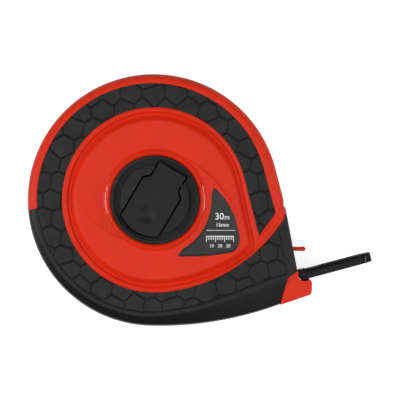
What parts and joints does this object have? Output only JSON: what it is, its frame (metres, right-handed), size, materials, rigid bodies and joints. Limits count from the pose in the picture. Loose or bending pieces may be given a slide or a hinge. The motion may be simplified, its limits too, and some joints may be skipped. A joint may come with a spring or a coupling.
{
  "type": "surveyor tape reel",
  "caption": "Long measuring tape wound in a closed drop-shaped case with a rubber grip, a fold-out winding crank and a fold-down pull ring on the tape end.",
  "frame": {"origin": "reel axis, in the plane of the back face that the case lies on", "axes": "+Z along the reel axis out of the front face, +X along the case towards the tape mouth, +Y across the case"},
  "size_m": [0.2053, 0.15, 0.0398],
  "materials": {
    "case_red": "satin moulded red ABS",
    "grip_rubber": "matte black thermoplastic rubber with a cell pattern",
    "label_black": "fine matte",
    "black_plastic": "fine spark-eroded grain",
    "ring_black": "gloss black nylon",
    "steel": "bright zinc plated",
    "white_plastic": "natural acetal",
    "drum_grey": "dark grey moulded",
    "tape_yellow": "PVC coated glass fibre tape"
  },
  "bodies": {
    "case": {"front_shell": "case_red", "rear_shell": "case_red", "front_grip": "grip_rubber", "rear_grip": "grip_rubber", "mouth_piece": "case_red", "ring_catch": "case_red", "label_panel": "label_black", "case_screws": "steel", "rear_cap": "black_plastic", "axle_bush": "white_plastic", "thrust_washer": "white_plastic", "axle_washer": "steel", "axle_screw": "steel"},
    "reel": {"drum_core": "drum_grey", "tape_coil": "tape_yellow", "tape_anchor": "steel", "crank_hub": "black_plastic", "hub_screws": "steel", "lever_pin": "steel"},
    "lever": {"crank_lever": "black_plastic", "knob_axle": "steel"},
    "knob": {"crank_knob": "black_plastic", "knob_cap": "label_black"},
    "tape_end": {"tape_lead": "tape_yellow", "end_clamp": "ring_black", "end_rivets": "steel", "ring_pin": "steel"},
    "ring": {"pull_ring": "ring_black"}
  },
  "joints": [
    {"name": "tape_pull", "type": "slide", "parent": "case", "child": "tape_end", "axis": [0.9566, 0.2915, 0], "range_m": [0, 0.06]},
    {"name": "reel_spin", "type": "hinge", "parent": "case", "child": "reel", "pos_m": [0, 0, 0.017], "axis": [0, 0, 1], "continuous": true},
    {"name": "lever_fold", "type": "hinge", "parent": "reel", "child": "lever", "pos_m": [0.00789, 0.01334, 0.0382], "axis": [-0.8607, 0.509, 0], "range_deg": [0, 180]},
    {"name": "knob_spin", "type": "hinge", "parent": "lever", "child": "knob", "pos_m": [-0.00509, -0.00861, 0.03], "axis": [0, 0, 1], "continuous": true},
    {"name": "ring_fold", "type": "hinge", "parent": "tape_end", "child": "ring", "pos_m": [0.0886, -0.0444, 0.017], "axis": [0, 0, 1], "range_deg": [0, 85.5]}
  ],
  "couplings": [
    {"joint": "reel_spin", "follows": "tape_pull", "rad_per_m": 15.129}
  ]
}
